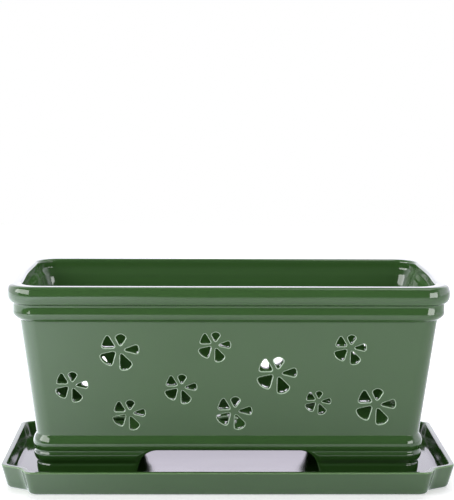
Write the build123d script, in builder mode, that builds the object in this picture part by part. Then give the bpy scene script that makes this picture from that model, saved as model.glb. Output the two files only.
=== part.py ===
"""Rectangular glazed orchid pot with flower-shaped slots, standing loose in its own saucer.

Millimetres, +Z up. The origin is the middle of the saucer's underside, X runs along the pot.
"""

import math
import os

from build123d import *

# Saucer: a shallow tray with flared walls and stepped corners
saucer_length = 335.0
saucer_depth = 165.0
saucer_height = 18.0
saucer_floor = 6.0
saucer_wall = 4.0
saucer_flare = 4.5
saucer_rim_rounding = 1.4
saucer_cove_radius = 3.0
saucer_foot_rounding = 2.0
saucer_corner_radius = 4.0
step_from_end = 20.0
step_run = 2.8
step_depth = 11.5
facet_depth = 9.5
underside_recess = 1.5
underside_band = 28.0
underside_radius = 16.0

# Pot: overall sizes, measured over the rim and from the foot to the rim
rim_length = 320.0
rim_depth = 152.0
pot_height = 146.0
rim_corner_radius = 18.0

# Pot walls: how far they stand inside the rim, at the top and at the plinth
wall_top_inset = 7.6
wall_foot_inset = 17.4
wall_thickness = 7.5
wall_corner_radius = 10.0
inner_corner_radius = 13.0

# Rim moulding: a roll, a crease and a bead, measured down from the top
roll_radius = 6.0
crease_drop = 13.8
crease_inset = 2.9
bead_drop = 19.7
bead_inset = 2.4
bead_radius = 6.0
mouth_inset = 10.5
mouth_depth = 7.0
shoulder_depth = 5.0
mouth_rounding = 2.0
rim_reach = 16.0

# Plinth and feet: a roll, a bead and a foot roll, measured up from the foot
plinth_top = 36.6
plinth_roll_height = 26.0
plinth_roll_inset = 15.0
plinth_corner_radius = 13.0
plinth_crease_height = 22.2
plinth_crease_inset = 16.3
plinth_bead_height = 19.0
plinth_bead_inset = 15.7
foot_cove_height = 12.6
foot_cove_inset = 17.6
foot_roll_height = 8.4
foot_roll_inset = 17.1
foot_inset = 18.8
skirt_thickness = 11.0

# Floor, drain holes and the arch between the feet
foot_clearance = 22.0
floor_thickness = 9.0
floor_cove_radius = 5.0
drain_diameter = 14.0
drain_spacing = 85.0
drain_count = 3
arch_top_width = 126.0
arch_foot_width = 140.0
arch_corner_radius = 11.0
arch_ceiling = 1.2

# Flower slots: place along half the rim and up the wall panel as shares, and width in millimetres
flowers = [
    (-0.716, 0.406, 21.5),
    (-0.497, 0.724, 25.5),
    (-0.456, 0.149, 21.5),
    (-0.219, 0.388, 21.0),
    (-0.066, 0.772, 21.0),
    (0.025, 0.167, 23.5),
    (0.219, 0.514, 26.0),
    (0.409, 0.263, 17.0),
    (0.550, 0.748, 21.0),
    (0.675, 0.227, 26.0),
]

# Five petals of a flower of width 1: tip, first corner, middle of the outer edge, second corner
petals = [
    ((-0.145, 0.150), (-0.335, 0.470), (-0.422, 0.315), (-0.475, 0.145)),
    ((0.030, 0.215), (0.165, 0.425), (0.045, 0.500), (-0.080, 0.440)),
    ((0.165, 0.065), (0.490, 0.190), (0.520, 0.085), (0.500, -0.020)),
    ((0.050, -0.060), (0.335, -0.350), (0.222, -0.480), (0.045, -0.495)),
    ((-0.135, -0.005), (-0.525, -0.095), (-0.430, -0.270), (-0.235, -0.375)),
]
petal_corner_share = 0.045

# Heights that follow from the sizes above
pot_base = saucer_floor
pot_top = pot_base + pot_height
wall_top = pot_top - bead_drop - bead_radius
wall_foot = pot_base + plinth_top
floor_under = pot_base + foot_clearance
floor_top = floor_under + floor_thickness
wall_slope = (wall_foot_inset - wall_top_inset) / (wall_top - wall_foot)


def wall_inset(height):
    """Distance of the wall's outer face from the rim's outer face at a height."""
    return wall_top_inset + (wall_top - height) * wall_slope


def flared_block(low_inset, low, high_inset, high, radius, cove=0):
    """Block that widens upwards between two heights, set in from the rim, with rounded edges."""
    with BuildPart() as block:
        for plane, across, through, mode in (
            (Plane.XZ, rim_length, rim_depth, Mode.ADD),
            (Plane.YZ, rim_depth, rim_length, Mode.INTERSECT),
        ):
            with BuildSketch(plane):
                with BuildLine():
                    Polyline(
                        (low_inset - across / 2, low),
                        (across / 2 - low_inset, low),
                        (across / 2 - high_inset, high),
                        (high_inset - across / 2, high),
                        close=True,
                    )
                make_face()
            extrude(amount=through / 2, both=True, mode=mode)
        fillet(slanted_edges(block), radius)
        if cove > 0:
            fillet(block.faces().sort_by(Axis.Z)[0].edges(), cove)
    return block.part


def slanted_edges(builder):
    """Edges that run from the lower to the upper face."""
    return [edge for edge in builder.edges() if abs((edge % 0.5).Z) > 0.5]


def moulding_path(inset, height, radius):
    """Closed path round the pot that a moulding's profile follows."""
    half_length = rim_length / 2 - inset
    half_depth = rim_depth / 2 - inset
    corners = [
        (-half_length, -half_depth, height),
        (half_length, -half_depth, height),
        (half_length, half_depth, height),
        (-half_length, half_depth, height),
    ]
    with BuildLine() as path:
        FilletPolyline(*corners, radius=radius, close=True)
    return path.wires()[0]


def profile_plane(path):
    """Plane square to the path at its start, with X pointing away from the pot and Y up."""
    along = path % 0
    outward = along.cross(Vector(0, 0, 1))
    if outward.dot(path @ 0) < 0:
        outward = -outward
    return Plane(origin=path @ 0, x_dir=outward, z_dir=outward.cross(Vector(0, 0, 1)))


def flower_slots(width):
    """Five petal openings round a flower's middle."""
    with BuildSketch() as flower:
        for petal in petals:
            tip, first, middle, last = [(x * width, z * width) for x, z in petal]
            with BuildLine():
                Line(tip, first)
                ThreePointArc(first, middle, last)
                Line(last, tip)
            make_face()
        fillet(flower.vertices(), petal_corner_share * width)
    return flower.sketch


def tray_block(inset, low, cove):
    """Flared block up to the saucer's rim, with a step and a slanted facet at each corner."""
    half_length = saucer_length / 2
    half_depth = saucer_depth / 2
    quarter = [
        (half_length - step_from_end, half_depth),
        (half_length - step_from_end + step_run, half_depth - step_depth),
        (half_length, half_depth - step_depth - facet_depth),
    ]
    lower_right = [(x, -y) for x, y in reversed(quarter)]
    lower_left = [(-x, -y) for x, y in quarter]
    upper_left = [(-x, y) for x, y in reversed(quarter)]
    flare = math.degrees(math.atan2(saucer_flare, saucer_height))
    with BuildPart() as block:
        with BuildSketch(Plane.XY.offset(low)):
            with BuildLine():
                Polyline(*quarter, *lower_right, *lower_left, *upper_left, close=True)
            make_face()
            offset(amount=-inset, kind=Kind.INTERSECTION)
        extrude(amount=saucer_height - low, taper=-flare)
        fillet(slanted_edges(block), saucer_corner_radius)
        fillet(block.faces().sort_by(Axis.Z)[0].edges(), cove)
    return block.part


rim_path = moulding_path(0, pot_top, rim_corner_radius)
plinth_path = moulding_path(plinth_roll_inset, pot_base, plinth_corner_radius)

# Space inside the pot: its tapered walls, and a shoulder that widens to the mouth
shoulder_top = pot_top - mouth_depth
shoulder_foot = shoulder_top - shoulder_depth
shoulder_inset = wall_inset(shoulder_foot) + wall_thickness
shoulder_width = shoulder_inset - mouth_inset
shoulder_flare = math.degrees(math.atan2(shoulder_width, shoulder_depth))
shoulder_lead = shoulder_depth / 2
lead_inset = shoulder_inset + shoulder_width / 2
lead_radius = inner_corner_radius - shoulder_width / 2
inner_walls = flared_block(
    wall_inset(floor_top) + wall_thickness,
    floor_top,
    wall_inset(shoulder_foot + shoulder_lead) + wall_thickness,
    shoulder_foot + shoulder_lead,
    inner_corner_radius,
    floor_cove_radius,
)

# The pot: one casting
with BuildPart() as pot:
    # Tapered walls, solid at first
    block_top = pot_top - roll_radius
    add(
        flared_block(
            wall_inset(floor_under), floor_under, wall_inset(block_top), block_top, wall_corner_radius
        )
    )

    # Rim: roll on top, a crease, then a bead whose underside turns in to the wall
    with BuildSketch(profile_plane(rim_path)):
        with BuildLine():
            Line((-rim_reach, 0), (-roll_radius, 0))
            RadiusArc((-roll_radius, 0), (0, -roll_radius), roll_radius)
            TangentArc((0, -roll_radius), (-crease_inset, -crease_drop), tangent=(0, -1))
            TangentArc((-bead_inset, -bead_drop), (-crease_inset, -crease_drop), tangent=(0, 1))
            bead_foot = (-bead_inset - bead_radius, -bead_drop - bead_radius)
            RadiusArc((-bead_inset, -bead_drop), bead_foot, bead_radius)
            Polyline(bead_foot, (-rim_reach, -bead_drop - bead_radius), (-rim_reach, 0))
        make_face()
    sweep(path=rim_path)

    # Plinth: a roll, a crease, a bead and a foot roll, standing down as a skirt
    with BuildSketch(profile_plane(plinth_path)):
        with BuildLine():
            wall_end = (plinth_roll_inset - wall_foot_inset, plinth_top)
            roll_out = (0, plinth_roll_height)
            crease = (plinth_roll_inset - plinth_crease_inset, plinth_crease_height)
            bead_out = (plinth_roll_inset - plinth_bead_inset, plinth_bead_height)
            cove_in = (plinth_roll_inset - foot_cove_inset, foot_cove_height)
            foot_out = (plinth_roll_inset - foot_roll_inset, foot_roll_height)
            foot_end = (plinth_roll_inset - foot_inset, 0)
            TangentArc(roll_out, wall_end, tangent=(0, 1))
            TangentArc(roll_out, crease, tangent=(0, -1))
            TangentArc(bead_out, crease, tangent=(0, 1))
            TangentArc(bead_out, cove_in, tangent=(0, -1))
            TangentArc(foot_out, cove_in, tangent=(0, 1))
            TangentArc(foot_out, foot_end, tangent=(0, -1))
            Polyline(foot_end, (-skirt_thickness, 0), (-skirt_thickness, plinth_top), wall_end)
        make_face()
    sweep(path=plinth_path)

    # Hollow: tapered walls inside, a shoulder under the rim and a straight mouth
    add(inner_walls, mode=Mode.SUBTRACT)
    with BuildSketch(Plane.XY.offset(shoulder_foot - shoulder_lead)):
        RectangleRounded(rim_length - 2 * lead_inset, rim_depth - 2 * lead_inset, lead_radius)
    extrude(amount=shoulder_depth + shoulder_lead, taper=-shoulder_flare, mode=Mode.SUBTRACT)
    with BuildSketch(Plane.XY.offset(shoulder_top)):
        RectangleRounded(
            rim_length - 2 * mouth_inset, rim_depth - 2 * mouth_inset, inner_corner_radius + shoulder_width
        )
    extrude(amount=mouth_depth, mode=Mode.SUBTRACT)
    fillet(pot.faces().sort_by(Axis.Z)[-1].inner_wires()[0].edges(), mouth_rounding)

    # Arch through the skirt, front to back, which leaves a foot at each end
    with BuildSketch(Plane.XZ.offset(rim_depth / 2)) as arch:
        arch_top = floor_under - arch_ceiling
        with BuildLine():
            Polyline(
                (-arch_foot_width / 2, pot_base),
                (-arch_top_width / 2, arch_top),
                (arch_top_width / 2, arch_top),
                (arch_foot_width / 2, pot_base),
                close=True,
            )
        make_face()
        fillet(arch.vertices().group_by(Axis.Y)[-1], arch_corner_radius)
    extrude(amount=-rim_depth, mode=Mode.SUBTRACT)

    # Drain holes along the floor
    with Locations((0, 0, floor_top)):
        with GridLocations(drain_spacing, 0, drain_count, 1):
            Hole(drain_diameter / 2, depth=2 * floor_thickness)

    # Flower slots through the front wall, and the same pattern through the back wall
    slot_reach = wall_foot_inset + 2 * wall_thickness
    panel_height = wall_top - wall_foot
    front_face = Plane.XZ.offset(rim_depth / 2)
    back_face = Plane(origin=(0, rim_depth / 2, 0), x_dir=(-1, 0, 0), z_dir=(0, 1, 0))
    for face in (front_face, back_face):
        with BuildSketch(face):
            for along, up, width in flowers:
                with Locations((along * rim_length / 2, wall_foot + up * panel_height)):
                    add(flower_slots(width))
        extrude(amount=-slot_reach, mode=Mode.SUBTRACT)
pot.part.label = "pot"

# The saucer: a shallow tray whose floor carries the pot's feet
with BuildPart() as saucer:
    add(tray_block(saucer_flare, 0, saucer_foot_rounding))
    hollow_inset = saucer_wall + saucer_flare * (1 - saucer_floor / saucer_height)
    add(tray_block(hollow_inset, saucer_floor, saucer_cove_radius), mode=Mode.SUBTRACT)
    fillet(saucer.faces().sort_by(Axis.Z)[-1].edges(), saucer_rim_rounding)
    with BuildSketch():
        RectangleRounded(
            saucer_length - 2 * underside_band, saucer_depth - 2 * underside_band, underside_radius
        )
    extrude(amount=underside_recess, mode=Mode.SUBTRACT)
saucer.part.label = "saucer"

os.makedirs("parts", exist_ok=True)
export_step(pot.part, "parts/pot.step")
export_step(saucer.part, "parts/saucer.step")
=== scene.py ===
import math

import bmesh
import bpy
from mathutils import Matrix, Vector, noise


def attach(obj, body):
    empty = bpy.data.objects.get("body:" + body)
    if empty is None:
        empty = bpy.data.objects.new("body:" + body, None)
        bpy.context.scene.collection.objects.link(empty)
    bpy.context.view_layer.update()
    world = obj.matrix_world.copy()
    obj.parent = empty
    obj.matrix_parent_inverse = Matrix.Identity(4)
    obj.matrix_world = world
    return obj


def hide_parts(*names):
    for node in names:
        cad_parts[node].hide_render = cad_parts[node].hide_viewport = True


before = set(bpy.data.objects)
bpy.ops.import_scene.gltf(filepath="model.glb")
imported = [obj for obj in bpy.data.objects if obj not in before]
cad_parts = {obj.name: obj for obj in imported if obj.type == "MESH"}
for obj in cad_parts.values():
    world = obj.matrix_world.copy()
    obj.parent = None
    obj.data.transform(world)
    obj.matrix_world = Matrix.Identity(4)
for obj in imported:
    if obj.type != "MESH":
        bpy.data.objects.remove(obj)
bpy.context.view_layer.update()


# Saucer: a shallow tray pressed from stoneware, with flared walls that step in and turn off at each
# corner. Dipped in the same green glaze as the pot and wiped bare under the foot band, it stands
# loose on the table. Sizes are in millimetres.
mm = 0.001
saucer_length = 335.0
saucer_depth = 165.0
saucer_height = 18.0
saucer_floor = 6.0
saucer_wall = 4.0
saucer_flare = 4.5
saucer_corner_radii = (6.5, 14.0, 7.0)
saucer_inner_corner_radii = (4.5, 9.0, 7.0)
inner_corner_inset = 12.0
step_from_end = 20.0
step_run = 2.8
step_depth = 11.5
facet_depth = 9.5
heel_width = 2.4
heel_height = 2.3
outer_wall_heights = (4.0, 7.0, 10.0, 13.0, 15.5, 16.7)
lip_rounding = 1.2
lip_insets = (1.5, 2.2, 2.8, 3.0)
lip_thinness = 0.8
saucer_cove = 3.2
inner_wall_heights = (14.0, 12.0, 10.5, saucer_floor + saucer_cove)
floor_edge = 4.0
saucer_dish = 1.2
dish_rings = (  # length, depth, corner radius and share of the dish's drop
    (260, 98, 9.0, 0.0),
    (254, 92, 9.0, 0.02),
    (244, 78, 9.0, 0.33),
    (232, 60, 9.0, 0.63),
    (216, 40, 9.0, 0.84),
    (196, 20, 9.0, 0.96),
    (178, 4, 1.5, 1.0),
)
underside_recess = 1.5
underside_band = 28.0
underside_radius = 16.0
recess_edge = (  # growth of the recess's outline, and height
    (-3.0, underside_recess),
    (-1.2, underside_recess),
    (-0.4, 1.0),
    (0.0, 0.4),
    (1.0, 0.0),
    (2.0, 0.0),
)
wiped_margin = 1.0
saucer_front_steps = 40
saucer_side_steps = 16
saucer_arc_steps = 10
rounding_steps = 7


def with_neighbours(points):
    """Each point of a closed outline, between the points before and after it."""
    return zip(points[-1:] + points[:-1], points, points[1:] + points[:1])


def moved_in(outline, inset):
    """Closed outline, anticlockwise, with every edge moved inwards by the same distance."""
    lines = []
    for (x0, y0), (x1, y1) in zip(outline, outline[1:] + outline[:1]):
        length = math.hypot(x1 - x0, y1 - y0)
        along = ((x1 - x0) / length, (y1 - y0) / length)
        lines.append((x0 - along[1] * inset, y0 + along[0] * inset, along))
    moved = []
    for (ax, ay, a), (bx, by, b) in zip(lines[-1:] + lines[:-1], lines):
        cross = a[0] * b[1] - a[1] * b[0]
        reach = ((bx - ax) * b[1] - (by - ay) * b[0]) / cross
        moved.append((ax + a[0] * reach, ay + a[1] * reach))
    return moved


def softened(outline, radii, steps):
    """Closed outline with each corner drawn as an arc: one list of points for every corner."""
    arcs = []
    for (before, corner, after), radius in zip(with_neighbours(outline), radii):
        corner = Vector(corner)
        back = (Vector(before) - corner).normalized()
        ahead = (Vector(after) - corner).normalized()
        half = back.angle(ahead) / 2
        reach = radius / math.tan(half)
        centre = corner + (back + ahead).normalized() * (radius / math.sin(half))
        start = corner + back * reach - centre
        turn = start.angle_signed(corner + ahead * reach - centre)
        arcs.append([])
        for k in range(steps + 1):
            spoke = start.copy()
            spoke.rotate(Matrix.Rotation(-turn * k / steps, 2))
            arcs[-1].append(tuple(centre + spoke))
    return arcs


def between(start, end, count):
    """Points spaced evenly between two points, without the ends."""
    shares = [(k + 1) / (count + 1) for k in range(count)]
    return [tuple(Vector(start).lerp(Vector(end), share)) for share in shares]


def curve_through(start, pull, end, steps):
    """Rounding from start to end that bends towards pull, without its start."""
    points = []
    for k in range(1, steps + 1):
        t = k / steps
        a, b, c = (1 - t) ** 2, 2 * t * (1 - t), t * t
        points.append(tuple(a * s + b * p + c * e for s, p, e in zip(start, pull, end)))
    return points


def skin(bm, rows, material=0, skip=()):
    """Faces between rows of as many points each. A row lacks points where there is an opening."""
    for lower, upper in zip(rows, rows[1:]):
        for k in range(len(lower)):
            n = (k + 1) % len(lower)
            corners = [lower[k], lower[n], upper[n], upper[k]]
            if all(corners) and k not in skip:
                bm.faces.new(corners).material_index = material


half_x, half_y = saucer_length / 2, saucer_depth / 2
quarter = [
    (half_x - step_from_end, half_y),
    (half_x - step_from_end + step_run, half_y - step_depth),
    (half_x, half_y - step_depth - facet_depth),
]
tray_outline = [(x, -y) for x, y in quarter] + quarter[::-1]
tray_outline += [(-x, -y) for x, y in tray_outline]


def tray_ring(inset):
    """Stepped outline of the tray at an inset, starting at the right end of the front edge."""
    share = min(inset / inner_corner_inset, 1.0)
    ends = zip(saucer_corner_radii, saucer_inner_corner_radii)
    radii = [outer + (inner - outer) * share for outer, inner in ends]
    arcs = softened(moved_in(tray_outline, inset), (radii + radii[::-1]) * 2, saucer_arc_steps)
    ring = []
    for corner in range(4):
        ring += [point for arc in arcs[3 * corner:3 * corner + 3] for point in arc]
        steps = saucer_front_steps if corner % 2 else saucer_side_steps
        ring += between(ring[-1], arcs[(3 * corner + 3) % 12][0], steps)
    return ring


def plain_ring(length, depth, radius):
    """Rounded rectangle with as many points as the stepped outline, in the same order."""
    last = 3 * (saucer_arc_steps + 1) - 1
    arcs = []
    for corner, (sx, sy) in enumerate(((1, -1), (1, 1), (-1, 1), (-1, -1))):
        x, y = sx * (length / 2 - radius), sy * (depth / 2 - radius)
        turns = [math.radians(90 * (corner - 1) + 90 * k / last) for k in range(last + 1)]
        arcs.append([(x + radius * math.cos(t), y + radius * math.sin(t)) for t in turns])
    ring = []
    for corner in range(4):
        ring += arcs[corner]
        steps = saucer_front_steps if corner % 2 else saucer_side_steps
        ring += between(ring[-1], arcs[(corner + 1) % 4][0], steps)
    return ring


# Profile of the tray from the heel up the outside, over the lip and down to the floor
flare = saucer_flare / saucer_height
wall_at_floor = saucer_wall + flare * (saucer_height - saucer_floor)
heel_top = (saucer_flare - flare * heel_height, heel_height)
lip_outside = (lip_rounding, saucer_height)
lip_inside = (saucer_wall + flare * lip_rounding, saucer_height - lip_rounding)
cove_foot = (wall_at_floor + saucer_cove, saucer_floor)
tray_profile = [(saucer_flare + heel_width, 0.0)]
tray_profile += curve_through(tray_profile[-1], (saucer_flare, 0.0), heel_top, rounding_steps)
tray_profile += [(saucer_flare - flare * h, h) for h in outer_wall_heights]
lip_start = len(tray_profile) - 1
tray_profile += curve_through(tray_profile[-1], (0.0, saucer_height), lip_outside, rounding_steps)
lip_top = len(tray_profile) - 1
tray_profile += [(inset, saucer_height) for inset in lip_insets]
tray_profile += curve_through(
    tray_profile[-1], (saucer_wall, saucer_height), lip_inside, rounding_steps - 1
)
tray_profile += [(saucer_wall + flare * (saucer_height - h), h) for h in inner_wall_heights]
tray_profile += curve_through(
    tray_profile[-1], (wall_at_floor, saucer_floor), cove_foot, rounding_steps
)
tray_profile += [(wall_at_floor + floor_edge, saucer_floor)]

bm = bmesh.new()
thin_layer = bm.verts.layers.float.new("thin_glaze")
painted_shade_layer = bm.verts.layers.float.new("painted_shade")


def tray_row(ring, height, thin=0.0, tray_shade=0.0):
    """Adds one level of the saucer and says how thin the glaze runs there and how much painted
    shade darkens it.
    """
    row = []
    for x, y in ring:
        vert = bm.verts.new((x * mm, y * mm, height * mm))
        vert[thin_layer] = thin
        vert[painted_shade_layer] = tray_shade
        row.append(vert)
    return row


recess_length = saucer_length - 2 * underside_band
recess_depth = saucer_depth - 2 * underside_band
rows = []
for growth, height in recess_edge:
    radius = underside_radius + growth / 2
    ring = plain_ring(recess_length + growth, recess_depth + growth, radius)
    rows.append(tray_row(ring, height))
rows.append(tray_row(tray_ring(tray_profile[0][0] + wiped_margin), 0.0))
bm.faces.new(rows[0]).material_index = 1
skin(bm, rows, material=1)
wall_rows = [rows[-1]]
for number, (inset, height) in enumerate(tray_profile):
    lip_share = (number - lip_start) / (lip_top - lip_start)
    thin = lip_thinness * math.sin(math.pi * lip_share) if 0 < lip_share < 1 else 0.0
    # Painted shade: the inner walls are darkened for the shade that the pot and the walls cast into
    # the tray
    tray_shade = min(max(inset - saucer_wall, 0.0), 1.0) if number > lip_top else 0.0
    wall_rows.append(tray_row(tray_ring(inset), height, thin, tray_shade))
# Painted shade: the floor of the tray takes the full darkening
for length, depth, radius, drop in dish_rings:
    sunk = saucer_floor - saucer_dish * drop
    wall_rows.append(tray_row(plain_ring(length, depth, radius), sunk, tray_shade=1.0))
skin(bm, wall_rows)
bm.faces.new(wall_rows[-1])


def wire(tree, feed, socket):
    """Gives an input a value or wires it to an output."""
    if isinstance(feed, bpy.types.NodeSocket):
        tree.links.new(feed, socket)
    else:
        socket.default_value = feed


def node(tree, kind, feeds=None, **settings):
    """Adds a node with its settings and what feeds its inputs."""
    made = tree.nodes.new(kind)
    for key, value in settings.items():
        setattr(made, key, value)
    for socket, feed in (feeds or {}).items():
        wire(tree, feed, made.inputs[socket])
    return made


def ranged(tree, value, low=0.0, high=1.0, start=0.0, end=1.0, eased=True):
    """Output that goes from start to end as a value goes from low to high."""
    feeds = {"Value": value, "From Min": low, "From Max": high, "To Min": start, "To Max": end}
    easing = "SMOOTHSTEP" if eased else "LINEAR"
    return node(tree, "ShaderNodeMapRange", feeds, interpolation_type=easing).outputs["Result"]


def worked_out(tree, operation, *values, **settings):
    """Output of one sum on values or outputs."""
    feeds = dict(enumerate(values))
    return node(tree, "ShaderNodeMath", feeds, operation=operation, **settings).outputs["Value"]


def mixed(tree, share, first, second, kind="RGBA"):
    """Output between two colours or two values."""
    from_socket, to_socket, result = (6, 7, 2) if kind == "RGBA" else (2, 3, 0)
    feeds = {"Factor": share, from_socket: first, to_socket: second}
    return node(tree, "ShaderNodeMix", feeds, data_type=kind).outputs[result]


def grain(tree, scale, detail):
    """Soft unevenness over a piece."""
    place = node(tree, "ShaderNodeTexCoord").outputs["Object"]
    feeds = {"Vector": place, "Scale": scale, "Detail": detail}
    return node(tree, "ShaderNodeTexNoise", feeds).outputs["Fac"]


def bumped(tree, shader, height, strength, distance):
    """Gives a shader bumps that follow a height."""
    feeds = {"Height": height, "Strength": strength, "Distance": distance}
    wire(tree, node(tree, "ShaderNodeBump", feeds).outputs["Normal"], shader.inputs["Normal"])


# Glaze that runs thin and pale over edges and varies from place to place, with painted shade laid
# on in its deep colour
breaking_glaze = bpy.data.node_groups.new("breaking_glaze", "ShaderNodeTree")
for name, kind, value in (
    ("Body", "NodeSocketColor", (0.04, 0.1, 0.03, 1)),
    ("Deep", "NodeSocketColor", (0.02, 0.06, 0.01, 1)),
    ("Broken", "NodeSocketColor", (0.5, 0.6, 0.4, 1)),
    ("Thinness", "NodeSocketFloat", 0.0),
    ("Pooling", "NodeSocketFloat", 0.0),
    ("Cloud size", "NodeSocketFloat", 12.0),
):
    socket = breaking_glaze.interface.new_socket(name, in_out="INPUT", socket_type=kind)
    socket.default_value = value
for name, kind in (
    ("Color", "NodeSocketColor"), ("Roughness", "NodeSocketFloat"), ("Height", "NodeSocketFloat"),
):
    breaking_glaze.interface.new_socket(name, in_out="OUTPUT", socket_type=kind)
coat = node(breaking_glaze, "NodeGroupInput").outputs
clouds = grain(breaking_glaze, coat["Cloud size"], detail=3.0)
specks = grain(breaking_glaze, scale=900.0, detail=2.0)
ripple = grain(breaking_glaze, scale=38.0, detail=1.0)
cloud_share = ranged(breaking_glaze, clouds, low=0.36, high=0.66, end=0.14)
# Painted shade: the deep colour is also laid where the piece asks for shade, besides the random
# clouds
cloud_and_shade_share = worked_out(breaking_glaze, "MAXIMUM", cloud_share, coat["Pooling"])
colour = mixed(breaking_glaze, cloud_and_shade_share, coat["Body"], coat["Deep"])
wander = ranged(breaking_glaze, specks, low=0.3, high=0.7, start=0.75, end=1.1, eased=False)
pale_share = worked_out(breaking_glaze, "MULTIPLY", coat["Thinness"], wander, use_clamp=True)
node(breaking_glaze, "NodeGroupOutput", {
    "Color": mixed(breaking_glaze, pale_share, colour, coat["Broken"]),
    "Roughness": ranged(breaking_glaze, clouds, start=0.05, end=0.11, eased=False),
    "Height": ripple,
})


def glazed(name, body, deep, broken, cloud_size, refraction):
    """Glossy glaze, pale where a piece's thin_glaze says, and darkened by painted shade where its
    shade attribute says.
    """
    material = bpy.data.materials.new(name)
    material.use_nodes = True
    tree = material.node_tree
    shader = tree.nodes["Principled BSDF"]
    shader.inputs["IOR"].default_value = refraction
    thin = node(tree, "ShaderNodeAttribute", attribute_name="thin_glaze")
    # Painted shade: this attribute darkens the glaze where shade falls on the piece
    shade_attribute = node(tree, "ShaderNodeAttribute", attribute_name="painted_shade")
    flow = node(tree, "ShaderNodeGroup", {
        "Body": (*body, 1),
        "Deep": (*deep, 1),
        "Broken": (*broken, 1),
        "Cloud size": cloud_size,
        "Thinness": thin.outputs["Fac"],
        "Pooling": shade_attribute.outputs["Fac"],
    }, node_tree=breaking_glaze)
    wire(tree, flow.outputs["Color"], shader.inputs["Base Color"])
    wire(tree, flow.outputs["Roughness"], shader.inputs["Roughness"])
    bumped(tree, shader, flow.outputs["Height"], strength=0.12, distance=0.0006)
    return material


saucer_glaze = glazed(
    "saucer_glaze",
    body=(0.050, 0.126, 0.032),
    deep=(0.028, 0.078, 0.015),
    broken=(0.2, 0.36, 0.14),
    cloud_size=11.0,
    refraction=1.58,
)

bare_clay = bpy.data.materials.new("bare_clay")
bare_clay.use_nodes = True
clay_tree = bare_clay.node_tree
clay_shader = clay_tree.nodes["Principled BSDF"]
clay_shader.inputs["Roughness"].default_value = 0.88
clay_grain = grain(clay_tree, scale=420.0, detail=6.0)
clay_tone = node(clay_tree, "ShaderNodeValToRGB", {"Fac": clay_grain})
dark_clay, light_clay = clay_tone.color_ramp.elements
dark_clay.position, dark_clay.color = 0.35, (0.46, 0.38, 0.29, 1)
light_clay.position, light_clay.color = 0.68, (0.66, 0.58, 0.47, 1)
wire(clay_tree, clay_tone.outputs["Color"], clay_shader.inputs["Base Color"])
bumped(clay_tree, clay_shader, clay_grain, strength=0.4, distance=0.0004)


def fired(bm, name, *materials):
    """Makes a piece of a mesh that is built up, with smooth faces that look outwards."""
    bmesh.ops.recalc_face_normals(bm, faces=bm.faces)
    for face in bm.faces:
        face.smooth = True
    mesh = bpy.data.meshes.new(name)
    bm.to_mesh(mesh)
    bm.free()
    for material in materials:
        mesh.materials.append(material)
    piece = bpy.data.objects.new(name, mesh)
    bpy.context.scene.collection.objects.link(piece)
    return piece


saucer = fired(bm, "saucer_tray", saucer_glaze, bare_clay)
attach(saucer, "saucer")
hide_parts("saucer")


# Pot: one slip-cast stoneware body with rolled rim, tapered walls, moulded plinth and a foot at
# each end. The flower slots and drain holes are cut before firing, then the whole is dipped in
# green glaze and its feet are wiped bare.
rim_length = 320.0
rim_depth = 152.0
pot_base = 6.0
pot_top = 152.0
rim_corner_radius = 21.5
plinth_corner_radius = 30.5
wall_top = 126.3
wall_top_inset = 7.6
wall_slope = 0.11708
wall_thickness = 7.5
wall_corner_radius = 13.0
inner_corner_radius = 9.5
panel_low = 42.0
panel_high = 122.0
panel_steps = 10
arch_top = 27.9
arch_radius = 14.0
arch_lean = math.radians(16.0)
arch_centre = (52.2, 13.9)
arch_rounding = 1.5
skirt_inset = 26.0
skirt_inner_radius = 3.0
floor_under = 28.9
floor_top = 37.0
glaze_wobble = 0.22
# Heights over which the painted shade on the foot and lower plinth fades out
foot_shade_heights = (20.0, 34.0)


def wall_inset(height):
    """How far the wall's outer face stands inside the rim."""
    return wall_top_inset + (wall_top - height) * wall_slope


def inner_inset(height):
    """How far the wall's inner face stands inside the rim."""
    return wall_inset(height) + wall_thickness


def arch_edge(height):
    """Half width of the arch at a height."""
    rise = height - arch_centre[1]
    if rise >= arch_radius:
        return arch_centre[0]
    if rise > arch_radius * math.sin(arch_lean):
        return arch_centre[0] + math.sqrt(arch_radius ** 2 - rise ** 2)
    return arch_centre[0] + (arch_radius - rise * math.sin(arch_lean)) / math.cos(arch_lean)


def arch_distance(x, height):
    """Distance from the edge of the arch, across the face of the skirt."""
    dx, dz = abs(x) - arch_centre[0], height - arch_centre[1]
    if dx <= 0:
        return dz - arch_radius
    if dz > dx * math.tan(arch_lean):
        return math.hypot(dx, dz) - arch_radius
    return dx * math.cos(arch_lean) + dz * math.sin(arch_lean) - arch_radius


def smooth_step(low, high, value):
    """0 below low, 1 above high, eased between."""
    t = min(max((value - low) / (high - low), 0.0), 1.0)
    return t * t * (3 - 2 * t)


step_angle = math.radians(8)
step_length = 1.2


def moulding(start, lean, turns):
    """Profile upwards from a point as inset and height, without the point itself.

    The lean is the angle at which the face looks up. Each turn gives a radius, negative for a
    hollow, and the lean that it ends at, or no radius and the length of a straight piece.
    """
    inset, height = start
    lean = math.radians(lean)
    points = []
    for radius, end in turns:
        if radius is None:
            inset, height = inset + end * math.sin(lean), height + end * math.cos(lean)
            points.append((inset, height))
            continue
        end = math.radians(end)
        bend = abs(end - lean)
        steps = max(2, round(bend / step_angle), round(abs(radius) * bend / step_length))
        for k in range(1, steps + 1):
            turned = lean + (end - lean) * k / steps
            points.append((
                inset + radius * (math.cos(lean) - math.cos(turned)),
                height + radius * (math.sin(turned) - math.sin(lean)),
            ))
        (inset, height), lean = points[-1], end
    return points


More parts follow.
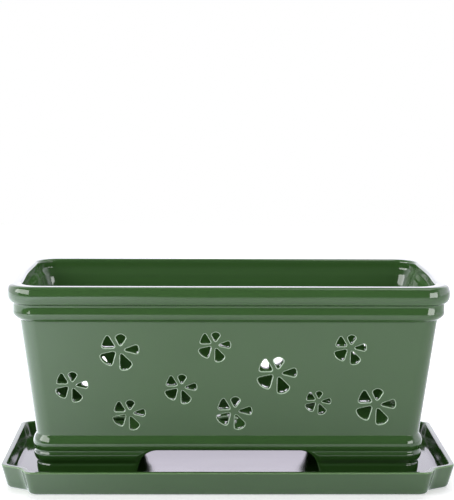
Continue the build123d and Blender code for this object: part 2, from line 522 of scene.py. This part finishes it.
# Outer profile of the plinth, and the plain one that it dies out to beside the arch
plain_profile = [(19.0, pot_base), (18.4, 12.0), (17.9, 18.6), (17.0, 24.2), (16.28, 28.58)]
plain_fade = (1.4, 3.4)
foot_profile = plain_profile[:1]
foot_profile += moulding(foot_profile[0], -14.1, (
    (41.1, 0), (1.4, 38),                                   # foot and its roll
    (-1.4, -44),                                            # cove
    (7.93, 0), (3.2, 32),                                   # bead
    (-2.6, -30),                                            # crease
    (8.0, -20), (7.6, 0), (6.5, 12), (12.5, 37),            # plinth roll
    (-0.88, -6.68),                                         # hollow up to the wall
))


def profile_inset(profile, height):
    """Inset of a profile at a height."""
    for (inset0, low), (inset1, high) in zip(profile, profile[1:]):
        if low <= height <= high:
            return inset0 + (inset1 - inset0) * (height - low) / max(high - low, 1e-9)
    return profile[-1][0]


def skirt_relief(x, height, inset):
    """Extra inset of the skirt beside the arch: mouldings die out and the edge rounds inwards."""
    gap = arch_distance(x, height)
    extra = 0.0
    if height < plain_profile[-1][1]:
        fade = smooth_step(*plain_fade, gap)
        extra += (profile_inset(plain_profile, height) - inset) * (1 - fade)
    if gap < arch_rounding:
        short = arch_rounding - max(gap, 0.0)
        extra += arch_rounding - math.sqrt(max(arch_rounding ** 2 - short ** 2, 0.0))
    return extra


def inner_relief(x, height, inset):
    """Small rounding of the arch edge on the inside of the skirt."""
    gap = max(arch_distance(x, height), 0.0)
    return math.sqrt(max(1 - (1 - gap) ** 2, 0.0)) - 1 if gap < 1 else 0.0


beside_arch = [5.6, 4.6, 3.8, 3.1, 2.5, 2.0, 1.6, 1.25, 0.9, 0.58, 0.3, 0.12, 0.03, 0.0]
front_coarse = 9
arch_steps = 15
corner_steps = 11
side_steps = 18
bow_share = 0.6
wobble_length = 46
wobble_rise = 30
wobble_start = 3.7


def pot_ring(inset, height, radius, relief=None, wobble=0.0, bow=0.0):
    """Points round the pot at a height, from the left of the front face, anticlockwise.

    Where there is a bow, the ends stand out, most in their middle.
    """
    half_length, half_depth = rim_length / 2 - inset + bow_share * bow, rim_depth / 2 - inset
    straight, deep = half_length - radius, half_depth - radius
    edge = arch_edge(height)
    run = straight - edge - beside_arch[0]
    left = [-straight + run * k / front_coarse for k in range(front_coarse)]
    left += [-edge - gap for gap in beside_arch]
    middle = [-edge + 2 * edge * (k + 1) / (arch_steps + 1) for k in range(arch_steps)]
    half = []

    def corner(y, start):
        for k in range(1, corner_steps + 1):
            t = math.radians(start + 90 * k / (corner_steps + 1))
            nx, ny = math.cos(t), math.sin(t)
            half.append((straight + radius * nx, y + radius * ny, nx, ny))

    for x in left + middle + [-x for x in reversed(left)]:
        extra = relief(x, height, inset) if relief else 0.0
        half.append((x, -half_depth + extra, 0.0, -1.0))
    corner(-deep, -90)
    for k in range(side_steps + 1):
        swell = bow_share * bow * math.sin(math.pi * k / side_steps) ** 2
        half.append((half_length + swell, -deep + 2 * deep * k / side_steps, 1.0, 0.0))
    corner(deep, 0)
    ring = []
    for x, y, nx, ny in half + [(-x, -y, -nx, -ny) for x, y, nx, ny in half]:
        spot = (x / wobble_length, y / wobble_length, height / wobble_rise + wobble_start)
        drift = wobble * noise.noise(Vector(spot)) if wobble else 0.0
        ring.append((x + nx * drift, y + ny * drift, height))
    return ring


left_count = front_coarse + len(beside_arch)
front_count = 2 * left_count + arch_steps
half_count = front_count + 2 * corner_steps + side_steps + 1
arch_columns = set()
panel_columns = set()
face_columns = set()
for start in (0, half_count):
    arch_columns |= set(range(start + left_count, start + left_count + arch_steps))
    panel_columns |= set(range(start + 1, start + front_count - 1))
    face_columns |= set(range(start, start + front_count - 1))

bm = bmesh.new()
bm.verts.layers.float.new("thin_glaze")
painted_shade_layer = bm.verts.layers.float.new("painted_shade")


def pot_row(ring, lacks=()):
    """Adds one level of the pot and says how much painted shade darkens it low on the plinth and
    foot.
    """
    row = []
    for k, (x, y, z) in enumerate(ring):
        if k in lacks:
            row.append(None)
            continue
        vert = bm.verts.new((x * mm, y * mm, z * mm))
        # Painted shade: darker below the plinth's roll, for the shade that the saucer's front wall
        # casts on the foot
        vert[painted_shade_layer] = 1 - smooth_step(*foot_shade_heights, z)
        row.append(vert)
    return row


# Skirt: its levels follow the mouldings and the round corners of the arch
leg_heights = [6.6, 7.4, 8.5, 9.8, 11.1, 12.4, 13.6, 14.6, 15.5, 16.0, 16.4, 16.9, 17.3]
turn_steps = 26
skirt_wobble_fade = (7.0, 14.0)
turn_angles = [
    arch_lean + (math.pi / 2 - arch_lean) * k / turn_steps for k in range(turn_steps)
]
turn_heights = [arch_centre[1] + arch_radius * math.sin(angle) for angle in turn_angles]
outer_foot = []
inner_foot = []
for height in leg_heights + turn_heights + [arch_top]:
    lacks = arch_columns if height < arch_top else ()
    inset = profile_inset(foot_profile, height)
    radius = plinth_corner_radius - inset
    wobble = glaze_wobble * smooth_step(*skirt_wobble_fade, height)
    outer_foot.append(pot_row(pot_ring(inset, height, radius, skirt_relief, wobble), lacks))
    ring = pot_ring(skirt_inset, height, skirt_inner_radius, inner_relief)
    inner_foot.append(pot_row(ring, lacks))

# Foot rings: bare clay between the outer and inner faces of the skirt
foot_outside = 19.5
foot_inside = skirt_inset - 0.6
foot_shares = (0.0, 0.35, 0.7, 1.0)
foot_bottom = []
for share, relief in zip(foot_shares, (skirt_relief, None, None, inner_relief)):
    inset = foot_outside + (foot_inside - foot_outside) * share
    radius = max(plinth_corner_radius - inset, skirt_inner_radius)
    foot_bottom.append(pot_row(pot_ring(inset, pot_base, radius, relief), arch_columns))
skin(bm, foot_bottom, material=1)
skin(bm, [foot_bottom[0]] + outer_foot)
skin(bm, [foot_bottom[-1]] + inner_foot)

# Arch: the wall thickness between the two faces of the skirt, front and back
for start in (0, half_count):
    left_edge, right_edge = start + left_count - 1, start + left_count + arch_steps
    loops = []
    for bottom, foot in ((foot_bottom[0], outer_foot), (foot_bottom[-1], inner_foot)):
        loop = [row[left_edge] for row in foot]
        loop += [foot[-1][k] for k in range(left_edge + 1, right_edge)]
        loop += [row[right_edge] for row in reversed(foot)]
        loops.append([bottom[left_edge]] + loop + [bottom[right_edge]])
    across = [loops[0]]
    for number in (1, 2):
        line = [foot_bottom[number][left_edge]]
        for outer, inner in zip(loops[0][1:-1], loops[1][1:-1]):
            line.append(bm.verts.new(outer.co.lerp(inner.co, foot_shares[number])))
        across.append(line + [foot_bottom[number][right_edge]])
    across.append(loops[1])
    for lower, upper in zip(across, across[1:]):
        for k in range(len(lower) - 1):
            bm.faces.new([lower[k], lower[k + 1], upper[k + 1], upper[k]])

# Plinth above the arch, up to the foot of the wall panel
rounding_angles = (22, 36, 50, 64, 78)
plinth_start = arch_top + 0.6
plinth_wobble_fade = (34.0, 40.0)
plinth_heights = [
    arch_top + arch_rounding * (1 - math.cos(math.radians(angle))) for angle in rounding_angles
]
plinth_heights += [height for _, height in foot_profile if height > plinth_start]
plinth_rows = [outer_foot[-1]]
for height in sorted(plinth_heights):
    inset = profile_inset(foot_profile, height)
    wobble = glaze_wobble * (1 - smooth_step(*plinth_wobble_fade, height))
    radius = plinth_corner_radius - inset
    plinth_rows.append(pot_row(pot_ring(inset, height, radius, skirt_relief, wobble)))
panel_foot = pot_row(pot_ring(wall_inset(panel_low), panel_low, wall_corner_radius))
skin(bm, plinth_rows + [panel_foot])

# Walls: the ends and corners; the pierced front and back panels are set in below
wall_rows = [panel_foot]
for k in range(1, panel_steps + 1):
    height = panel_low + (panel_high - panel_low) * k / panel_steps
    lacks = panel_columns if height < panel_high else ()
    wall_rows.append(pot_row(pot_ring(wall_inset(height), height, wall_corner_radius), lacks))
skin(bm, wall_rows, skip=face_columns)

# Rim: bead with its underside, crease, roll, flat land, mouth and the shoulder to the inner wall.
# Round the ends, which stand out a little, the crease is shallower.
rim_bow = 2.2
rim_fade = (125.5, 131.0)
under_bead_heights = (122.9, 123.6, 124.3, 124.9)
under_bead_pull = (7.4, 126.15)
bead_foot = (6.9, 126.4)
crease_low = 132.6
crease_lip = 3.84
crease_fill = 1.8
land_insets = (4.8, 6.6, 8.4)
mouth_inset = 10.6
mouth_rounding = 2.2
mouth_angles = (15, 30, 45, 60, 75, 90)
mouth_heights = (148.6, 147.3, 146.2)
mouth_corner_growth = 5.0
mouth_corner_fade = (4.0, mouth_inset)
shoulder_top_pull = (mouth_inset, 145.0)
shoulder = ((11.22, 143.8), (11.9, 142.67), (12.6, 141.5))
shoulder_foot_pull = (13.5, 140.0)
shoulder_foot = 138.4
rim_profile = [(wall_inset(height), height) for height in under_bead_heights]
rim_profile += curve_through(rim_profile[-1], under_bead_pull, bead_foot, steps=5)
rim_profile += moulding(bead_foot, -62, (
    (6.0, 0), (4.0, 14), (-30.6, 6),                        # bead with a slightly hollow face
    (-1.6, -62), (None, 2.2),                               # crease
    (0.8, -38), (7.3, 0), (22.5, 14), (2.85, 90),           # roll
))
outer_rim = len(rim_profile)
rim_profile[-1] = (rim_profile[-1][0], pot_top)
rim_profile += [(inset, pot_top) for inset in land_insets]
for angle in mouth_angles:
    t = math.radians(angle)
    out, up = mouth_rounding * math.sin(t), mouth_rounding * math.cos(t)
    rim_profile.append((land_insets[-1] + out, pot_top - mouth_rounding + up))
rim_profile += [(mouth_inset, height) for height in mouth_heights]
rim_profile += curve_through(rim_profile[-1], shoulder_top_pull, shoulder[0], steps=4)
rim_profile += shoulder[1:]
shoulder_end = (inner_inset(shoulder_foot), shoulder_foot)
rim_profile += curve_through(rim_profile[-1], shoulder_foot_pull, shoulder_end, steps=4)
rim_rows = [wall_rows[-1]]
for number, (inset, height) in enumerate(rim_profile):
    share = smooth_step(*rim_fade, height)
    bow = rim_bow * share
    radius = rim_corner_radius - inset if height > rim_fade[0] else wall_corner_radius
    if number >= outer_rim:
        radius += mouth_corner_growth * smooth_step(*mouth_corner_fade, inset)
    elif height > crease_low:
        bow += crease_fill * max(inset - crease_lip, 0.0)
    ring = pot_ring(inset, height, radius, wobble=glaze_wobble * share, bow=bow)
    rim_rows.append(pot_row(ring))
skin(bm, rim_rows)

# Inner walls, cove and the edge of the floor
inner_low = 42.5
cove_top = 42.2
cove_width = 5.2
cove_edge = 6.2
cove_corner_loss = 4.0
cove_corner_fade = (24.5, 31.0)
inner_rows = [rim_rows[-1]]
for height, radius in ((132.0, 11.8), (126.0, 10.4), (panel_high, inner_corner_radius)):
    inner_rows.append(pot_row(pot_ring(inner_inset(height), height, radius)))
skin(bm, inner_rows)
inner_panel_rows = [inner_rows[-1]]
for k in range(1, panel_steps + 1):
    height = panel_high + (inner_low - panel_high) * k / panel_steps
    lacks = panel_columns if k < panel_steps else ()
    ring = pot_ring(inner_inset(height), height, inner_corner_radius)
    inner_panel_rows.append(pot_row(ring, lacks))
skin(bm, inner_panel_rows, skip=face_columns)
floor_inset = inner_inset(floor_top)
cove = [(inner_inset(cove_top), cove_top)]
cove += curve_through(
    cove[0], (floor_inset, floor_top), (floor_inset + cove_width, floor_top), rounding_steps
)
cove += [(floor_inset + cove_edge, floor_top)]
cove_rows = [inner_panel_rows[-1]]
for inset, height in cove:
    radius = inner_corner_radius - cove_corner_loss * smooth_step(*cove_corner_fade, inset)
    cove_rows.append(pot_row(pot_ring(inset, height, radius)))
skin(bm, cove_rows)

# Underside of the floor, inside the skirt
under_rounding = 1.4
under_edge = 2.2
under_relief_top = arch_top + 0.9
under_end = (skirt_inset + under_rounding, floor_under)
under = curve_through((skirt_inset, arch_top), (skirt_inset, floor_under), under_end, steps=4)
under += [(skirt_inset + under_edge, floor_under)]
under_rows = [inner_foot[-1]]
for inset, height in under:
    relief = inner_relief if height < under_relief_top else None
    under_rows.append(pot_row(pot_ring(inset, height, skirt_inner_radius, relief)))
skin(bm, under_rows)


# Flower slots: ten five-petal cut-outs through the front wall and ten through the back, and three
# drain holes. Each opening is cut in the soft clay with a punch; the glaze rounds its edges and
# breaks pale over them.
flowers = [  # share of the half length, share of the wall's height, and width
    (-0.716, 0.406, 21.5),
    (-0.497, 0.724, 25.5),
    (-0.456, 0.149, 21.5),
    (-0.219, 0.388, 21.0),
    (-0.066, 0.772, 21.0),
    (0.025, 0.167, 23.5),
    (0.219, 0.514, 26.0),
    (0.409, 0.263, 17.0),
    (0.550, 0.748, 21.0),
    (0.675, 0.227, 26.0),
]
petals = [  # tip, and the first, middle and last point of the round end, for a flower of width 1
    ((-0.145, 0.150), (-0.335, 0.470), (-0.422, 0.315), (-0.475, 0.145)),
    ((0.030, 0.215), (0.165, 0.425), (0.045, 0.500), (-0.080, 0.440)),
    ((0.165, 0.065), (0.490, 0.190), (0.520, 0.085), (0.500, -0.020)),
    ((0.050, -0.060), (0.335, -0.350), (0.222, -0.480), (0.045, -0.495)),
    ((-0.135, -0.005), (-0.525, -0.095), (-0.430, -0.270), (-0.235, -0.375)),
]
wall_foot = 42.6
petal_end_steps = 16
petal_fine_points = 260
petal_softening = 13
petal_points = 44
petal_growth = 0.028
drain_diameter = 14.0
drain_spacing = 85.0
drain_points = 48
weld_distance = 2e-6


def spaced(points, count):
    """Points spaced evenly round a closed outline."""
    lengths = [math.dist(a, b) for a, b in zip(points, points[1:] + points[:1])]
    total = sum(lengths)
    spread, run, k = [], 0.0, 0
    for n in range(count):
        aim = total * n / count
        while run + lengths[k] < aim:
            run += lengths[k]
            k += 1
        share = (aim - run) / lengths[k]
        a, b = points[k], points[(k + 1) % len(points)]
        spread.append((a[0] + (b[0] - a[0]) * share, a[1] + (b[1] - a[1]) * share))
    return spread


def grown(outline, distance):
    """Closed outline, anticlockwise, with every point moved outwards."""
    wider = []
    for before, here, after in with_neighbours(outline):
        run = (Vector(after) - Vector(before)).normalized()
        wider.append((here[0] + run.y * distance, here[1] - run.x * distance))
    return wider


def petal_outline(tip, first, middle, last):
    """Rounded outline of a petal, anticlockwise."""
    pull = tuple(2 * m - (f + l) / 2 for f, m, l in zip(first, middle, last))
    sharp = [tip, first] + curve_through(first, pull, last, petal_end_steps)
    sharp = spaced(sharp, petal_fine_points)
    reach = range(-petal_softening, petal_softening + 1)
    weights = [math.exp(-0.5 * (2 * d / petal_softening) ** 2) for d in reach]
    total = sum(weights)
    soft = []
    for k in range(len(sharp)):
        near = [sharp[(k + d) % len(sharp)] for d in reach]
        soft.append(tuple(sum(w * p[i] for w, p in zip(weights, near)) / total for i in (0, 1)))
    area = sum(a[0] * b[1] - a[1] * b[0] for a, b in zip(soft, soft[1:] + soft[:1]))
    return grown(spaced(soft if area > 0 else soft[::-1], petal_points), petal_growth)


def opening_liner(name, outlines, lip, shoulder):
    """Rounded edges and sides of openings of width 1, from the outer face to the inner one."""
    steps = [(shoulder, 0.0, 0, 0.0)]  # outwards, depth from its face, inner side, thinness
    for angle, thin in ((0, 0.1), (24, 0.85), (48, 1.0), (70, 1.0), (90, 0.7)):
        t = math.radians(angle)
        steps.append((lip * (1 - math.sin(t)), lip * (1 - math.cos(t)), 0, thin))
    steps += [(0.0, 1.7 * lip, 0, 0.05), (0.0, 0.6 * lip, 1, 0.0)]
    steps += [(0.18 * lip, 0.18 * lip, 1, 0.3), (0.6 * lip, 0.0, 1, 0.1), (lip, 0.0, 1, 0.0)]
    liner = bmesh.new()
    thin_of = liner.verts.layers.float.new("thin_glaze")
    side_of = liner.verts.layers.float.new("inner_side")
    for outline in outlines:
        lines = []
        for out, depth, side, thin in steps:
            line = []
            for x, y in grown(outline, out):
                vert = liner.verts.new((x, y, depth))
                vert[thin_of] = thin
                vert[side_of] = side
                line.append(vert)
            lines.append(line)
        skin(liner, lines)
    mesh = bpy.data.meshes.new(name)
    liner.to_mesh(mesh)
    liner.free()
    return bpy.data.objects.new(name, mesh)


def outline_mesh(name, loops):
    """Closed outlines as edges, marked with the face that they belong to."""
    edges = bmesh.new()
    side_of = edges.verts.layers.float.new("inner_side")
    for side, loop in enumerate(loops):
        line = [edges.verts.new((x * mm, y * mm, 0.0)) for x, y in loop]
        for vert, following in zip(line, line[1:] + line[:1]):
            vert[side_of] = side
            edges.edges.new((vert, following))
    mesh = bpy.data.meshes.new(name)
    edges.to_mesh(mesh)
    edges.free()
    return bpy.data.objects.new(name, mesh)


def places(name, spots):
    """Points where the openings go, each with its size."""
    mesh = bpy.data.meshes.new(name)
    mesh.from_pydata([(x * mm, y * mm, 0.0) for x, y, _ in spots], [], [])
    sizes = mesh.attributes.new("size", "FLOAT", "POINT")
    for entry, (_, _, size) in zip(sizes.data, spots):
        entry.value = size * mm
    return bpy.data.objects.new(name, mesh)


# Pierced panel: copies an opening to each place and fills both faces of the panel round the copies
pierced = bpy.data.node_groups.new("pierced_panel", "GeometryNodeTree")
pierced.is_modifier = True
pierced_inputs = {}
for name, kind in (
    ("Places", "NodeSocketGeometry"),
    ("Opening", "NodeSocketObject"),
    ("Border", "NodeSocketObject"),
    ("Thickness", "NodeSocketFloat"),
    ("Glaze", "NodeSocketMaterial"),
):
    socket = pierced.interface.new_socket(name, in_out="INPUT", socket_type=kind)
    pierced_inputs[name] = socket.identifier
pierced.interface.new_socket("Panel", in_out="OUTPUT", socket_type="NodeSocketGeometry")


def step(kind, result, feeds=None, **settings):
    """Adds a step to the pierced panel and gives its result."""
    return node(pierced, kind, feeds, **settings).outputs[result]


given = node(pierced, "NodeGroupInput").outputs
punch = step("GeometryNodeObjectInfo", "Geometry", {"Object": given["Opening"]})
border = step("GeometryNodeObjectInfo", "Geometry", {"Object": given["Border"]})
size, side = [
    step("GeometryNodeInputNamedAttribute", "Attribute", {"Name": name}, data_type="FLOAT")
    for name in ("size", "inner_side")
]
copies = step("GeometryNodeInstanceOnPoints", "Instances", {
    "Points": given["Places"], "Instance": punch, "Scale": size,
})
liners = step("GeometryNodeRealizeInstances", "Geometry", {"Geometry": copies})
on_inner = step(
    "FunctionNodeCompare", "Result", {"A": side, "B": 0.5},
    data_type="FLOAT", operation="GREATER_THAN",
)
on_outer = step("FunctionNodeBooleanMath", "Boolean", {0: on_inner}, operation="NOT")
face_count = step("GeometryNodeInputMeshEdgeNeighbors", "Face Count")
on_rim = step(
    "FunctionNodeCompare", "Result", {2: face_count, 3: 1}, data_type="INT", operation="EQUAL"
)
position = step("GeometryNodeInputPosition", "Position")
axes = node(pierced, "ShaderNodeSeparateXYZ", {"Vector": position}).outputs
from_inside = worked_out(pierced, "SUBTRACT", given["Thickness"], axes["Z"])
depth = mixed(pierced, side, axes["Z"], from_inside, kind="FLOAT")
seat = step("ShaderNodeCombineXYZ", "Vector", {"X": axes["X"], "Y": axes["Y"], "Z": depth})
seated = step("GeometryNodeSetPosition", "Geometry", {"Geometry": liners, "Position": seat})
panel = node(pierced, "GeometryNodeJoinGeometry")
for on_face in (on_outer, on_inner):
    chosen = step("FunctionNodeBooleanMath", "Boolean", {0: on_face, 1: on_rim}, operation="AND")
    holes = step("GeometryNodeMeshToCurve", "Curve", {"Mesh": liners, "Selection": chosen})
    edge = step("GeometryNodeMeshToCurve", "Curve", {"Mesh": border, "Selection": on_face})
    lines = node(pierced, "GeometryNodeJoinGeometry", {"Geometry": holes})
    wire(pierced, edge, lines.inputs["Geometry"])
    fill = step(
        "GeometryNodeFillCurve", "Mesh", {"Curve": lines.outputs["Geometry"]}, mode="TRIANGLES"
    )
    if on_face is on_inner:
        turned = step("GeometryNodeFlipFaces", "Mesh", {"Mesh": fill})
        inwards = step("ShaderNodeCombineXYZ", "Vector", {"Z": given["Thickness"]})
        fill = step("GeometryNodeTransform", "Geometry", {
            "Geometry": turned, "Translation": inwards,
        })
    wire(pierced, fill, panel.inputs["Geometry"])
wire(pierced, seated, panel.inputs["Geometry"])
whole = step("GeometryNodeRealizeInstances", "Geometry", {"Geometry": panel.outputs["Geometry"]})
coated = step("GeometryNodeSetMaterial", "Geometry", {
    "Geometry": whole, "Material": given["Glaze"],
})
node(pierced, "NodeGroupOutput", {"Panel": coated})

pot_glaze = glazed(
    "pot_glaze",
    body=(0.047, 0.118, 0.031),
    deep=(0.023, 0.070, 0.013),
    broken=(0.60, 0.78, 0.57),
    cloud_size=9.0,
    refraction=1.52,
)


def pierced_panel(spots, opening, loops, thickness, placement):
    """Panel with its openings as a plain mesh, moved to its place on the pot."""
    carrier = places("panel_places", spots)
    border = outline_mesh("panel_border", loops)
    for made in (carrier, border, opening):
        bpy.context.scene.collection.objects.link(made)
    cut = carrier.modifiers.new("openings", "NODES")
    cut.node_group = pierced
    cut[pierced_inputs["Opening"]] = opening
    cut[pierced_inputs["Border"]] = border
    cut[pierced_inputs["Thickness"]] = thickness * mm
    cut[pierced_inputs["Glaze"]] = pot_glaze
    ready = carrier.evaluated_get(bpy.context.evaluated_depsgraph_get())
    mesh = bpy.data.meshes.new_from_object(ready)
    mesh.polygons.foreach_set("material_index", [0] * len(mesh.polygons))
    carrier.modifiers.remove(cut)
    for made in (carrier, border, opening):
        bpy.data.objects.remove(made)
    mesh.transform(placement)
    return mesh


def panel_border(rows):
    """Outline of the front panel as x and height, read from the rows round it, lowest first."""
    last = front_count - 1
    line = [rows[0][k] for k in range(front_count)]
    line += [row[last] for row in rows[1:-1]]
    line += [rows[-1][k] for k in range(last, -1, -1)]
    line += [row[0] for row in reversed(rows[1:-1])]
    return [(vert.co.x * 1000, vert.co.z * 1000) for vert in line]


flower_spots = []
for along, up, width in flowers:
    flower_spots.append((along * rim_length / 2, wall_foot + up * (wall_top - wall_foot), width))
petal_outlines = [petal_outline(*petal) for petal in petals]
flower = opening_liner("flower_slot", petal_outlines, lip=0.026, shoulder=0.038)
wall_loops = [panel_border(wall_rows), panel_border(inner_panel_rows[::-1])]
wall_at_table = -rim_depth / 2 + wall_top_inset + wall_top * wall_slope
onto_wall = Matrix((
    (1, 0, 0, 0),
    (0, -wall_slope, 1, wall_at_table * mm),
    (0, 1, 0, 0),
    (0, 0, 0, 1),
))
front_panel = pierced_panel(flower_spots, flower, wall_loops, wall_thickness, onto_wall)

drain_spots = [(k * drain_spacing, 0.0, drain_diameter) for k in (-1, 0, 1)]
drain_turns = [math.tau * k / drain_points for k in range(drain_points)]
circle = [(0.5 * math.cos(t), 0.5 * math.sin(t)) for t in drain_turns]
drain = opening_liner("drain_hole", [circle], lip=0.1, shoulder=0.14)
floor_loops = []
for rows in (cove_rows, under_rows):
    floor_loops.append([(vert.co.x * 1000, vert.co.y * 1000) for vert in rows[-1]])
onto_floor = Matrix((
    (1, 0, 0, 0),
    (0, 1, 0, 0),
    (0, 0, -1, floor_top * mm),
    (0, 0, 0, 1),
))
floor_panel = pierced_panel(drain_spots, drain, floor_loops, floor_top - floor_under, onto_floor)

bm.from_mesh(front_panel)
front_panel.transform(Matrix.Rotation(math.pi, 4, "Z"))
bm.from_mesh(front_panel)
bm.from_mesh(floor_panel)
for spare in (front_panel, floor_panel):
    bpy.data.meshes.remove(spare)
bmesh.ops.remove_doubles(bm, verts=bm.verts, dist=weld_distance)
pot = fired(bm, "pot_body", pot_glaze, bare_clay)
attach(pot, "pot")
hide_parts("pot")


# Stage: a white table top in pale surroundings, soft lamps at both sides, one overhead on the right
# and one above the back, and the camera at the photo's angle. The camera's side is darker, so that
# the rolls show the glaze and only the walls mirror the table. Sizes are in metres.
table_mesh = bpy.data.meshes.new("table_top")
table_corners = [(-3, -3, 0), (3, -3, 0), (3, 1.5, 0), (-3, 1.5, 0)]
table_mesh.from_pydata(table_corners, [], [(0, 1, 2, 3)])
table = bpy.data.objects.new("table_top", table_mesh)
bpy.context.scene.collection.objects.link(table)
table_white = bpy.data.materials.new("table_white")
table_white.use_nodes = True
table_mesh.materials.append(table_white)
table_tree = table_white.node_tree
table_shader = table_tree.nodes["Principled BSDF"].inputs
table_shader["Base Color"].default_value = (0.82, 0.82, 0.83, 1)
table_shader["Roughness"].default_value = 0.9
table_shader["Specular IOR Level"].default_value = 0.0
spot = node(table_tree, "ShaderNodeTexCoord").outputs["Object"]
across = node(table_tree, "ShaderNodeSeparateXYZ", {"Vector": spot}).outputs["X"]
away = node(table_tree, "ShaderNodeVectorMath", {0: spot}, operation="LENGTH").outputs["Value"]
seen = node(table_tree, "ShaderNodeLightPath").outputs
far_glow = ranged(table_tree, away, low=0.16, high=0.36, start=0.42, end=0.8)
left_glow = ranged(table_tree, across, low=-0.02, high=-0.36, start=0.65, end=3.0)
looked_at = worked_out(table_tree, "MULTIPLY", seen["Is Camera Ray"], far_glow)
glow = worked_out(table_tree, "MULTIPLY_ADD", seen["Is Glossy Ray"], left_glow, looked_at)
plain_white = (1, 1, 1, 1)
table_in_glaze = (0.95, 1.0, 1.09, 1)
table_tint = mixed(table_tree, seen["Is Camera Ray"], table_in_glaze, plain_white)
wire(table_tree, glow, table_shader["Emission Strength"])
wire(table_tree, table_tint, table_shader["Emission Color"])


def soft_lamp(name, place, aim, size, radiance, mirrored=True, fills=True):
    """Rectangular soft lamp at a place, turned to a point."""
    lamp = bpy.data.lights.new(name, "AREA")
    lamp.shape = "RECTANGLE"
    lamp.size, lamp.size_y = size
    lamp.energy = radiance * math.pi * size[0] * size[1]
    stand = bpy.data.objects.new(name, lamp)
    stand.location = place
    stand.rotation_euler = (Vector(aim) - Vector(place)).to_track_quat("-Z", "Y").to_euler()
    stand.visible_camera = False
    stand.visible_glossy = mirrored
    stand.visible_diffuse = fills
    bpy.context.scene.collection.objects.link(stand)


def upright_lamp(name, turns, heights, reach, radiance, **settings):
    """Upright soft lamp between two turns to the left of the camera's side, seen from the pot."""
    turns = [math.radians(turn) for turn in turns]
    ends = [(-math.sin(turn) * reach, -math.cos(turn) * reach) for turn in turns]
    height = sum(heights) / 2
    middle = ((ends[0][0] + ends[1][0]) / 2, (ends[0][1] + ends[1][1]) / 2, height)
    size = (math.dist(*ends), heights[1] - heights[0])
    soft_lamp(name, middle, (0.0, 0.0, height), size, radiance, **settings)


for name, turns, heights, radiance in (
    ("left_softbox", (30, 84), (0.24, 0.9), 7.0),
    ("right_softbox", (-62, -33), (0.08, 0.35), 8.0),
):
    upright_lamp(name, turns, heights, reach=1.1, radiance=radiance, fills=False)
for name, turns, radiance in (("left_fill", (20, 80), 2.75), ("right_fill", (-70, -20), 1.9)):
    upright_lamp(
        name, turns, heights=(0.3, 1.3), reach=1.4, radiance=radiance, mirrored=False
    )
soft_lamp(
    "right_overhead", place=(0.5, -0.15, 1.5), aim=(0.05, 0.0, 0.1), size=(0.8, 0.7), radiance=3.5,
    fills=False,
)
soft_lamp(
    "top_light", place=(0.0, 0.9, 1.7), aim=(0.0, -0.35, 0.0), size=(2.6, 1.2), radiance=3.5,
    mirrored=False,
)

# Surroundings: bright round the back and low down, white where the camera sees them
world = bpy.data.worlds.new("studio")
bpy.context.scene.world = world
world.use_nodes = True
sky = world.node_tree
backing = sky.nodes["Background"].inputs
side_weight = 0.9
sky_in_glaze = (1.0, 0.95, 1.1, 1)
heading = node(sky, "ShaderNodeTexCoord").outputs["Generated"]
headings = node(sky, "ShaderNodeSeparateXYZ", {"Vector": heading}).outputs
ray = node(sky, "ShaderNodeLightPath").outputs
sideways = worked_out(sky, "ABSOLUTE", headings["X"])
round_back = worked_out(sky, "MULTIPLY_ADD", sideways, side_weight, headings["Y"])
room = ranged(sky, round_back, low=0.25, high=0.7)
low_down = ranged(sky, headings["Z"], low=0.4, high=0.9, start=1.0, end=0.0)
sweep = worked_out(sky, "MULTIPLY", room, low_down)
around = ranged(sky, sweep, start=0.12, end=2.25, eased=False)
mirrored_level = ranged(sky, ray["Is Glossy Ray"], start=0.51, end=1.0, eased=False)
level = worked_out(sky, "MULTIPLY", around, mirrored_level)
sky_tint = mixed(sky, ray["Is Camera Ray"], sky_in_glaze, plain_white)
wire(sky, sky_tint, backing["Color"])
wire(sky, mixed(sky, ray["Is Camera Ray"], level, 1.0, kind="FLOAT"), backing["Strength"])

# Camera: its angles are in radians, and its focal length is in pixels of the picture
camera_place = (-0.01959, -1.09585, 0.32332)
camera_pitch, camera_turn, camera_roll = 0.14, 0.0172, 0.0049
focal_length = 1450.0
picture_height = 500.0
film_height = 36.0
ahead = Vector((
    math.sin(camera_turn) * math.cos(camera_pitch),
    math.cos(camera_turn) * math.cos(camera_pitch),
    -math.sin(camera_pitch),
))
right = Vector((math.cos(camera_turn), -math.sin(camera_turn), 0.0))
above = right.cross(ahead)
rolled_right = right * math.cos(camera_roll) + above * math.sin(camera_roll)
rolled_above = above * math.cos(camera_roll) - right * math.sin(camera_roll)
turn = Matrix((rolled_right, rolled_above, -ahead)).transposed()
lens = bpy.data.cameras.new("camera")
lens.sensor_width = film_height
lens.lens = focal_length * film_height / picture_height
camera = bpy.data.objects.new("camera", lens)
camera.matrix_world = Matrix.Translation(camera_place) @ turn.to_4x4()
bpy.context.scene.collection.objects.link(camera)
bpy.context.scene.camera = camera
bpy.context.scene.view_settings.view_transform = "Standard"
